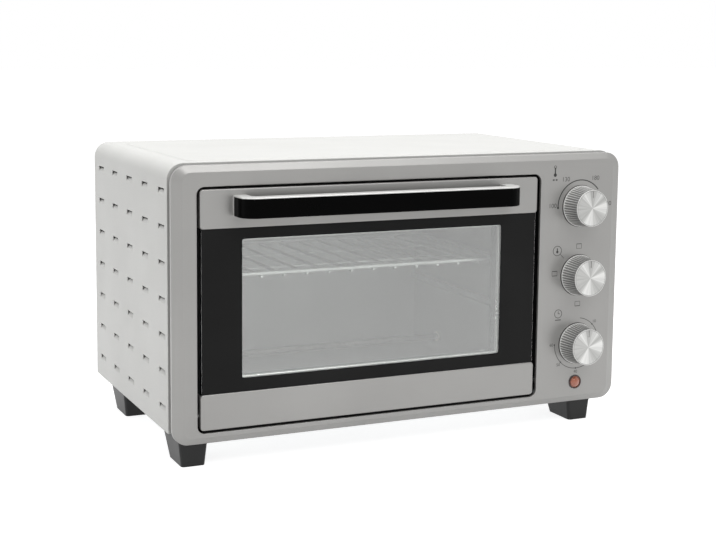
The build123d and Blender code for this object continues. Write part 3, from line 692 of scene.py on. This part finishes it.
@dataclass
class DoorGlazing:
    """The black border printed on the door's pane, and the bead behind it round the window."""

    window_left: float = -162.4
    window_right: float = 93.8
    window_low: float = 55.4
    window_high: float = 177.3
    corner: float = 2.0
    print_thickness: float = 0.15
    print_lift: float = 0.01
    print_corner: float = 0.5
    edge_gap: float = 0.4
    tucked: float = 2.0
    bead_hidden: float = 1.7
    bead_shown: float = 1.1
    bead_depth: float = 3.2
    bead_gap: float = 0.05
    bead_profile: tuple[tuple[float, float], ...] = ((0.5, 0.0), (0.87, 0.25), (1.0, 0.9))

    def window(self, origin: Vector, inset: float) -> Loop:
        """Loop round the window, drawn in by inset millimetres.

        Args:
            origin: Place of the fascia's front lower middle in the frame.
            inset: How far inside the print's edge.

        Returns:
            Pairs of x and z.
        """
        corner = max(self.corner - inset, 0.5)
        left = origin.x + (self.window_left + inset) * MM
        right = origin.x + (self.window_right - inset) * MM
        low = origin.z + (self.window_low + inset) * MM
        high = origin.z + (self.window_high - inset) * MM
        return rounded_loop(left, right, low, high, corner * MM)

    def build(self, shop: Workshop, origin: Vector) -> None:
        """Make the border and the bead.

        Args:
            shop: Maker of pieces.
            origin: Place of the fascia's front lower middle in the frame.
        """
        low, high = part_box("door_glass")
        top_low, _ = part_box("door_top_trim")
        _, bottom_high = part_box("door_bottom_trim")
        gap = self.edge_gap * MM
        tucked = self.tucked * MM
        corner = self.print_corner * MM
        outer = rounded_loop(low.x + gap, high.x - gap, bottom_high.z - tucked, top_low.z + tucked, corner)
        inner = self.window(origin, 0.0)
        front = low.y - self.print_thickness * MM
        back = low.y - self.print_lift * MM
        border = bmesh.new()
        closed_ring(border, [(outer, front), (inner, front), (inner, back), (outer, back)])
        shop.piece("glass_border", border, GLASS_PRINT, "door", "door_glass")
        hidden = self.window(origin, -self.bead_hidden)
        face = high.y + self.bead_gap * MM
        rear = face + self.bead_depth * MM
        front_rows = [
            (self.window(origin, self.bead_shown * share), face + depth * MM)
            for share, depth in self.bead_profile
        ]
        bead = bmesh.new()
        closed_ring(bead, [(hidden, face), *front_rows, (front_rows[-1][0], rear), (hidden, rear)])
        shop.piece("window_bead", bead, BEAD_STEEL, "door", "cavity_steel")


@dataclass
class KnobShadeRings:
    """Thin black rings between the knobs and the fascia, painted shade for the dark shadow line in the gap.
    """

    proud: float = 0.5
    soft_edge: float = 0.2
    thickness: float = 0.6
    seat_gap: float = 0.02
    inner_share: float = 0.8

    def build(self, shop: Workshop) -> None:
        """Make one black ring of painted shade behind each knob.

        Args:
            shop: Maker of pieces.
        """
        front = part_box("fascia")[0].y
        for name in KNOBS:
            low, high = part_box(f"{name}_knob")
            middle = (low + high) / 2
            radius = (high.x - low.x) / 2
            outer = circle_loop(middle.x, middle.z, radius + self.proud * MM)
            soft = circle_loop(middle.x, middle.z, radius + (self.proud - self.soft_edge) * MM)
            inner = circle_loop(middle.x, middle.z, radius * self.inner_share)
            shape = bmesh.new()
            back = front - self.seat_gap * MM
            face = front - self.thickness * MM
            edge = face + self.soft_edge * MM
            closed_ring(shape, [(outer, back), (outer, edge), (soft, face), (inner, face), (inner, back)])
            shop.piece(f"{name}_gasket", shape, KNOB_SHADE_RING, "oven", "black_plastic")


# Numbers of the temperature scale, each with its clock angle.
TEMPERATURES = ((-88, "100"), (-33, "130"), (32, "180"), (88, "230"))
# Box symbols of the functions: clock angle, distance from the axis, and which of its bars are heavy.
FUNCTIONS = ((0, 28.0, (1,)), (-84, 27.0, (1, -1)), (180, 28.0, (-1,)), (86, 27.0, (1, -1)))
MINUTE_STEP = 45


@dataclass
class DialPrint:
    """Scales, numbers and plain symbols printed on the fascia round the three knobs."""

    thickness: float = 0.06
    arc_radius: float = 25.0
    minute_radius: float = 24.7
    line: float = 1.0
    thin_line: float = 0.6
    digit: float = 6.0
    number_radius: float = 31.0
    minute_digit: float = 4.2
    minute_number_radius: float = 28.2
    thermometer: tuple[float, float] = (-29.0, 30.5)
    heat_sign: tuple[float, float] = (-24.4, 24.6)
    clock_sign: tuple[float, float] = (-21.5, 30.2)

    def strip(
        self, shape: Shape, centre: Vector, radius: float, width: float, start: float, end: float,
    ) -> None:
        """Add an arc, from one clock angle to another.

        Args:
            shape: Mesh that gets it.
            centre: Knob axis on the fascia.
            radius: Middle radius, in millimetres.
            width: Line width, in millimetres.
            start: First angle, in degrees clockwise from the top.
            end: Last angle.
        """
        steps = max(int(abs(end - start) / 4), 2)
        rows = []
        for n in range(steps + 1):
            angle = math.radians(start + (end - start) * n / steps)
            way = Vector((math.sin(angle), 0, math.cos(angle)))
            section = []
            for reach, depth in ((-0.5, 0), (0.5, 0), (0.5, -1), (-0.5, -1)):
                lift = Vector((0, depth * self.thickness * MM, 0))
                section.append(shape.verts.new(centre + way * (radius + reach * width) * MM + lift))
            rows.append(section)
        for a, b in zip(rows, rows[1:]):
            for n in range(4):
                m = (n + 1) % 4
                shape.faces.new((a[n], a[m], b[m], b[n]))
        shape.faces.new(rows[0])
        shape.faces.new(rows[-1][::-1])

    def bar(self, shape: Shape, at: Vector, width: float, height: float, turn: float = 0.0) -> None:
        """Add a small filled bar.

        Args:
            shape: Mesh that gets it.
            at: Its middle on the fascia.
            width: Size along x before it is turned.
            height: Size along z.
            turn: Turn clockwise, in degrees.
        """
        scale = Matrix.Diagonal((width * MM, self.thickness * MM, height * MM, 1.0))
        lift = Vector((0, -self.thickness * MM / 2, 0))
        place = Matrix.Translation(at + lift) @ Matrix.Rotation(math.radians(turn), 4, "Y") @ scale
        bmesh.ops.create_cube(shape, size=1.0, matrix=place)

    def dot(self, shape: Shape, at: Vector, radius: float) -> None:
        """Add a round dot."""
        lift = Vector((0, -self.thickness * MM / 2, 0))
        place = Matrix.Translation(at + lift) @ Matrix.Rotation(math.radians(90), 4, "X")
        bmesh.ops.create_cone(shape, cap_ends=True, segments=16, radius1=radius * MM, radius2=radius * MM,
                              depth=self.thickness * MM, matrix=place)

    def ring(self, shape: Shape, at: Vector, radius: float, width: float) -> None:
        """Add a thin circle as two half arcs that meet."""
        self.strip(shape, at, radius, width, 0, 180)
        self.strip(shape, at, radius, width, 180, 360)

    def number(self, shape: Shape, at: Vector, text: str, size: float) -> None:
        """Add a plain number.

        Args:
            shape: Mesh that gets it.
            at: Its middle on the fascia.
            text: The digits.
            size: Height of the type, in millimetres.
        """
        curve = bpy.data.curves.new("digits", "FONT")
        curve.body = text
        curve.size = size * MM
        curve.extrude = self.thickness * MM / 2
        curve.align_x = "CENTER"
        curve.align_y = "CENTER"
        holder = bpy.data.objects.new("digits", curve)
        bpy.context.scene.collection.objects.link(holder)
        graph = bpy.context.evaluated_depsgraph_get()
        mesh = bpy.data.meshes.new_from_object(holder.evaluated_get(graph))
        mesh.transform(Matrix.Translation(at) @ Matrix.Rotation(math.radians(90), 4, "X"))
        shape.from_mesh(mesh)
        bpy.data.objects.remove(holder)
        bpy.data.curves.remove(curve)
        bpy.data.meshes.remove(mesh)

    def around(self, centre: Vector, radius: float, clock: float) -> Vector:
        """Point at a radius in millimetres and a clock angle in degrees."""
        angle = math.radians(clock)
        return centre + Vector((math.sin(angle), 0, math.cos(angle))) * radius * MM

    def beside(self, centre: Vector, offset: tuple[float, float]) -> Vector:
        """Point at an offset in millimetres across and up."""
        return centre + Vector((offset[0], 0, offset[1])) * MM

    def temperature(self, dark: Shape, faint: Shape, centre: Vector) -> None:
        """Arc from the coolest to the hottest setting, four numbers and a thermometer."""
        self.strip(dark, centre, self.arc_radius, self.line, -92, 52)
        self.dot(dark, self.around(centre, self.arc_radius, -92), 1.1)
        for clock, text in TEMPERATURES:
            self.number(faint, self.around(centre, self.number_radius, clock), text, self.digit)
        bulb = self.beside(centre, self.thermometer)
        for side in (-1, 1):
            self.bar(faint, bulb + Vector((side * 1.6, 0, -4.6)) * MM, 2.0, 1.6)
        self.dot(dark, bulb, 1.7)
        self.bar(dark, bulb + Vector((0, 0, 3.6)) * MM, 1.3, 7.0)
        self.ring(faint, bulb + Vector((0, 0, 7.6)) * MM, 1.3, 0.5)

    def function(self, dark: Shape, faint: Shape, centre: Vector) -> None:
        """Round heat symbol with its leader line, and a small box symbol at each setting."""
        sign = self.beside(centre, self.heat_sign)
        self.ring(faint, sign, 4.6, 0.6)
        self.bar(dark, sign + Vector((0, 0, 0.8)) * MM, 1.0, 3.4)
        self.bar(dark, sign + Vector((0, 0, -1.0)) * MM, 2.2, 2.2, 45)
        self.bar(faint, sign + Vector((5.4, 0, -5.4)) * MM, 0.45, 6.0, -45)
        for clock, radius, rows in FUNCTIONS:
            box = self.around(centre, radius, clock)
            for row in (1, -1):
                ink = dark if row in rows else faint
                self.bar(ink, box + Vector((0, 0, row * 2.2)) * MM, 5.6, 0.6 if row in rows else 0.35)
            for side in (1, -1):
                self.bar(faint, box + Vector((side * 2.8, 0, 0)) * MM, 0.35, 4.2)

    def timer(self, dark: Shape, faint: Shape, centre: Vector) -> None:
        """Thin scale three quarters round with dots, minutes and a clock symbol."""
        self.strip(faint, centre, self.minute_radius, self.thin_line, 8, 270)
        for step in range(1, 7):
            clock = MINUTE_STEP * step
            self.dot(dark, self.around(centre, self.minute_radius, clock), 0.75)
            text = str(10 * step)
            self.number(faint, self.around(centre, self.minute_number_radius, clock), text, self.minute_digit)
        dial = self.beside(centre, self.clock_sign)
        self.ring(faint, dial, 4.0, 0.6)
        self.bar(dark, dial + Vector((0, 0, 1.2)) * MM, 0.5, 2.6)
        self.bar(dark, dial + Vector((1.0, 0, 0)) * MM, 2.0, 0.5)
        self.bar(faint, dial + Vector((0, 0, -6.0)) * MM, 6.4, 0.9)

    def build(self, shop: Workshop) -> None:
        """Print all three scales.

        Args:
            shop: Maker of pieces.
        """
        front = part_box("fascia")[0].y
        dark = bmesh.new()
        faint = bmesh.new()
        for name, scale in zip(KNOBS, (self.temperature, self.function, self.timer)):
            low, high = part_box(f"{name}_knob_cap")
            middle = (low + high) / 2
            scale(dark, faint, Vector((middle.x, front, middle.z)))
        bmesh.ops.recalc_face_normals(dark, faces=dark.faces)
        shop.piece("dial_marks", dark, DIAL_INK, "oven", "black_plastic")
        shop.piece("dial_numbers", faint, INK_FAINT, "oven", "black_plastic")


@dataclass
class BackScrews:
    """Pan-head screws round the back panel."""

    head_radius: float = 3.6
    head_height: float = 1.8
    recess: float = 0.8
    inset: float = 9.0

    def head(self) -> Shape:
        """Domed head with a cross recess, facing the back.

        Returns:
            A mesh in metres, centred on its seat.
        """
        shape = bmesh.new()
        rings = []
        profile = ((1.0, 0.0), (1.0, 0.35), (0.9, 0.75), (0.62, 1.0))
        arms = 24
        for reach, height in profile:
            row = []
            for n in range(arms):
                angle = 2 * math.pi * n / arms
                radius = self.head_radius * reach * MM
                lift = height * self.head_height * MM
                row.append(shape.verts.new((radius * math.cos(angle), lift, radius * math.sin(angle))))
            rings.append(row)
        floor = []
        for n in range(arms):
            angle = 2 * math.pi * n / arms
            reach = 0.5 if n % 6 in (0, 1, 5) else 0.16
            radius = self.head_radius * reach * MM
            lift = (self.head_height - self.recess) * MM
            floor.append(shape.verts.new((radius * math.cos(angle), lift, radius * math.sin(angle))))
        rings.append(floor)
        for a, b in zip(rings, rings[1:]):
            for n in range(arms):
                m = (n + 1) % arms
                shape.faces.new((a[n], a[m], b[m], b[n]))
        shape.faces.new(rings[0][::-1])
        shape.faces.new(rings[-1])
        bmesh.ops.recalc_face_normals(shape, faces=shape.faces)
        return shape

    def places(self) -> list[Vector]:
        """Seats of the screws on the panel's outer face."""
        low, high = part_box("back_panel")
        inset = self.inset * MM
        left, right = low.x + inset, high.x - inset
        bottom, top = low.z + inset, high.z - inset
        middle = (bottom + top) / 2
        seats = [(left, bottom), (0.0, bottom), (right, bottom), (left, middle), (right, middle),
                 (left, top), (0.0, top), (right, top)]
        return [Vector((x, high.y, z)) for x, z in seats]

    def tree(self, template: bpy.types.Object, material: bpy.types.Material) -> Tree:
        """Geometry nodes that put one head on each point.

        Args:
            template: The head.
            material: Its finish.

        Returns:
            The tree.
        """
        tree = bpy.data.node_groups.new("screw_heads", "GeometryNodeTree")
        tree.interface.new_socket(name="Seats", in_out="INPUT", socket_type="NodeSocketGeometry")
        tree.interface.new_socket(name="Head Scale", in_out="INPUT", socket_type="NodeSocketFloat")
        tree.interface.new_socket(name="Heads", in_out="OUTPUT", socket_type="NodeSocketGeometry")
        source = add_node(tree, "NodeGroupInput")
        head = add_node(tree, "GeometryNodeObjectInfo", {}, {"Object": template})
        copies = add_node(tree, "GeometryNodeInstanceOnPoints", {}, {
            "Points": source.outputs["Seats"],
            "Instance": head.outputs["Geometry"],
            "Scale": source.outputs["Head Scale"],
        })
        real = add_node(tree, "GeometryNodeRealizeInstances", {}, {"Geometry": copies.outputs["Instances"]})
        painted = add_node(tree, "GeometryNodeSetMaterial", {}, {
            "Geometry": real.outputs["Geometry"],
            "Material": material,
        })
        add_node(tree, "NodeGroupOutput", {}, {"Heads": painted.outputs["Geometry"]})
        return tree

    def build(self, shop: Workshop) -> None:
        """Set the screws.

        Args:
            shop: Maker of pieces.
        """
        template_mesh = bpy.data.meshes.new("screw_head")
        shape = self.head()
        shape.to_mesh(template_mesh)
        shape.free()
        template = bpy.data.objects.new("screw_head", template_mesh)
        points_mesh = bpy.data.meshes.new("screw_seats")
        points_mesh.from_pydata([tuple(seat) for seat in self.places()], [], [])
        holder = bpy.data.objects.new("screw_seats", points_mesh)
        for helper in (template, holder):
            bpy.context.scene.collection.objects.link(helper)
        modifier = holder.modifiers.new("heads", "NODES")
        tree = self.tree(template, shop.material(TURNED_STEEL))
        modifier.node_group = tree
        items = [item for item in tree.interface.items_tree if item.in_out == "INPUT"]
        sockets = {item.name: item.identifier for item in items}
        modifier[sockets["Head Scale"]] = 1.0
        graph = bpy.context.evaluated_depsgraph_get()
        mesh = bpy.data.meshes.new_from_object(holder.evaluated_get(graph))
        result = bmesh.new()
        result.from_mesh(mesh)
        for helper in (template, holder):
            bpy.data.objects.remove(helper)
        bpy.data.meshes.remove(mesh)
        shop.piece("back_screws", result, TURNED_STEEL, "oven", "bright_steel")


@dataclass(frozen=True)
class SoftLamp:
    """Rectangular lamp, in metres and watts."""

    name: str
    place: tuple[float, float, float]
    target: tuple[float, float, float]
    size: tuple[float, float]
    power: float


LAMPS = (
    SoftLamp("overhead", (0.0, 0.0, 1.7), (0.0, 0.0, 0.2), (2.2, 1.8), 25.0),
    SoftLamp("left_side", (-2.1, 0.2, 0.6), (0.0, 0.0, 0.15), (1.4, 1.2), 6.0),
    SoftLamp("front_fill", (0.3, -1.9, 2.0), (0.0, 0.0, 0.12), (1.6, 1.0), 16.0),
)


@dataclass
class Studio:
    """White floor, soft lamps and the camera."""

    yaw: float = 0.431
    pitch: float = 0.125
    roll: float = 0.010
    focal_px: float = 1411.0
    shift_px: float = -60.0
    side_px: float = 1.0
    camera_x: float = -573.3
    camera_y: float = -1127.5
    camera_z: float = 353.8
    floor_size: float = 12.0
    floor_grey: float = 0.55
    floor_glow: float = 0.84
    sky: float = 0.45

    def camera(self, origin: Vector) -> None:
        """Place the camera.

        Args:
            origin: Place of the fascia's front lower middle in the frame.
        """
        flat = math.cos(self.pitch)
        forward = Vector((math.sin(self.yaw) * flat, math.cos(self.yaw) * flat, -math.sin(self.pitch)))
        level = Vector((math.cos(self.yaw), -math.sin(self.yaw), 0))
        upright = level.cross(forward)
        right = level * math.cos(self.roll) + upright * math.sin(self.roll)
        up = upright * math.cos(self.roll) - level * math.sin(self.roll)
        data = bpy.data.cameras.new("camera")
        data.sensor_width = SENSOR_MM
        data.lens = self.focal_px / IMAGE_WIDTH * SENSOR_MM
        data.shift_x = self.side_px / IMAGE_WIDTH
        data.shift_y = self.shift_px / IMAGE_WIDTH
        camera = bpy.data.objects.new("camera", data)
        place = origin + Vector((self.camera_x, self.camera_y, self.camera_z)) * MM
        rows = [[right[n], up[n], -forward[n], place[n]] for n in range(3)]
        camera.matrix_world = Matrix([*rows, [0, 0, 0, 1]])
        bpy.context.scene.collection.objects.link(camera)
        bpy.context.scene.camera = camera

    def light(self, lamp: SoftLamp) -> None:
        """Add one lamp.

        Args:
            lamp: Its place, size and power.
        """
        data = bpy.data.lights.new(lamp.name, "AREA")
        data.shape = "RECTANGLE"
        data.size, data.size_y = lamp.size
        data.energy = lamp.power
        holder = bpy.data.objects.new(lamp.name, data)
        holder.location = lamp.place
        way = Vector(lamp.target) - Vector(lamp.place)
        holder.rotation_mode = "QUATERNION"
        holder.rotation_quaternion = way.to_track_quat("-Z", "Y")
        bpy.context.scene.collection.objects.link(holder)

    def shown_white(self, tree: Tree) -> bpy.types.NodeSocket:
        """1 where the eye, a reflection or a look through glass sees the background."""
        path = add_node(tree, "ShaderNodeLightPath")
        eye = calculate(tree, "MAXIMUM", path.outputs["Is Camera Ray"], path.outputs["Is Glossy Ray"])
        return calculate(tree, "MAXIMUM", eye, path.outputs["Is Transmission Ray"])

    def floor(self) -> None:
        """White floor that keeps the oven's soft shadow."""
        shape = bmesh.new()
        bmesh.ops.create_grid(shape, x_segments=1, y_segments=1, size=self.floor_size)
        mesh = bpy.data.meshes.new("floor")
        shape.to_mesh(mesh)
        shape.free()
        material, tree = new_material("studio_floor")
        grey = (self.floor_grey, self.floor_grey, self.floor_grey, 1.0)
        matt = add_node(tree, "ShaderNodeBsdfDiffuse", {}, {"Color": grey})
        share = calculate(tree, "MULTIPLY", self.shown_white(tree), self.floor_glow)
        glow = add_node(tree, "ShaderNodeEmission", {}, {"Color": WHITE, "Strength": share})
        show(tree, add_node(tree, "ShaderNodeAddShader", {}, {0: matt.outputs[0], 1: glow.outputs[0]}))
        mesh.materials.append(material)
        floor = bpy.data.objects.new("floor", mesh)
        bpy.context.scene.collection.objects.link(floor)

    def world(self) -> None:
        """White seen behind the oven, and a plain grey light from all round."""
        world = bpy.data.worlds.new("studio")
        world.use_nodes = True
        tree = world.node_tree
        tree.nodes.clear()
        level = map_range(tree, self.shown_white(tree), 0.0, 1.0, self.sky, 1.0)
        back = add_node(tree, "ShaderNodeBackground", {}, {"Color": WHITE, "Strength": level})
        add_node(tree, "ShaderNodeOutputWorld", {}, {"Surface": back.outputs[0]})
        bpy.context.scene.world = world

    def build(self, origin: Vector) -> None:
        """Set up the studio.

        Args:
            origin: Place of the fascia's front lower middle in the frame.
        """
        self.camera(origin)
        self.floor()
        self.world()
        for lamp in LAMPS:
            self.light(lamp)
        bpy.context.scene.view_settings.view_transform = "Standard"


def knob_disc(name: str) -> SpunDisc:
    """Spun finish centred on one knob's cap.

    Args:
        name: The knob's name.

    Returns:
        The finish.
    """
    low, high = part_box(f"{name}_knob_cap")
    middle = (low + high) / 2
    return SpunDisc(f"spun_aluminium_{name}", middle.x, middle.z)


def knob_side(name: str) -> FlutedKnob:
    """Fluted finish centred on one knob.

    Args:
        name: The knob's name.

    Returns:
        The finish.
    """
    low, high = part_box(f"{name}_knob")
    middle = (low + high) / 2
    base = (high.x - low.x) / 2
    front = base - KNOB_TAPER * MM
    return FlutedKnob(f"fluted_silver_{name}", middle.x, middle.z, low.y, high.y, front, base)


def handle_lacquer() -> TwoToneLacquer:
    """Two-tone finish, with silver over the handle's top edge and next to the door.

    Returns:
        The finish.
    """
    _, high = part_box("handle")
    return TwoToneLacquer("two_tone_handle_lacquer", high.z - SILVER_RIM * MM, high.y - SILVER_ROOT * MM)


def main() -> None:
    """Load the frame, dress it, add the fine pieces and set up the studio."""
    logging.basicConfig(level=logging.INFO, format="%(message)s")
    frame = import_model()
    fascia_low, fascia_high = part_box("fascia")
    origin = Vector(((fascia_low.x + fascia_high.x) / 2, fascia_low.y, fascia_low.z))
    shop = Workshop(frame)
    for node, finish in NODE_FINISHES.items():
        shop.dress(node, finish)
    for name in KNOBS:
        shop.dress(f"{name}_knob_cap", knob_disc(name))
        shop.dress(f"{name}_knob", knob_side(name))
    shop.dress("handle", handle_lacquer())
    DoorGlazing().build(shop, origin)
    KnobShadeRings().build(shop)
    DialPrint().build(shop)
    BackScrews().build(shop)
    Studio().build(origin)


if __name__ == "__main__":
    main()
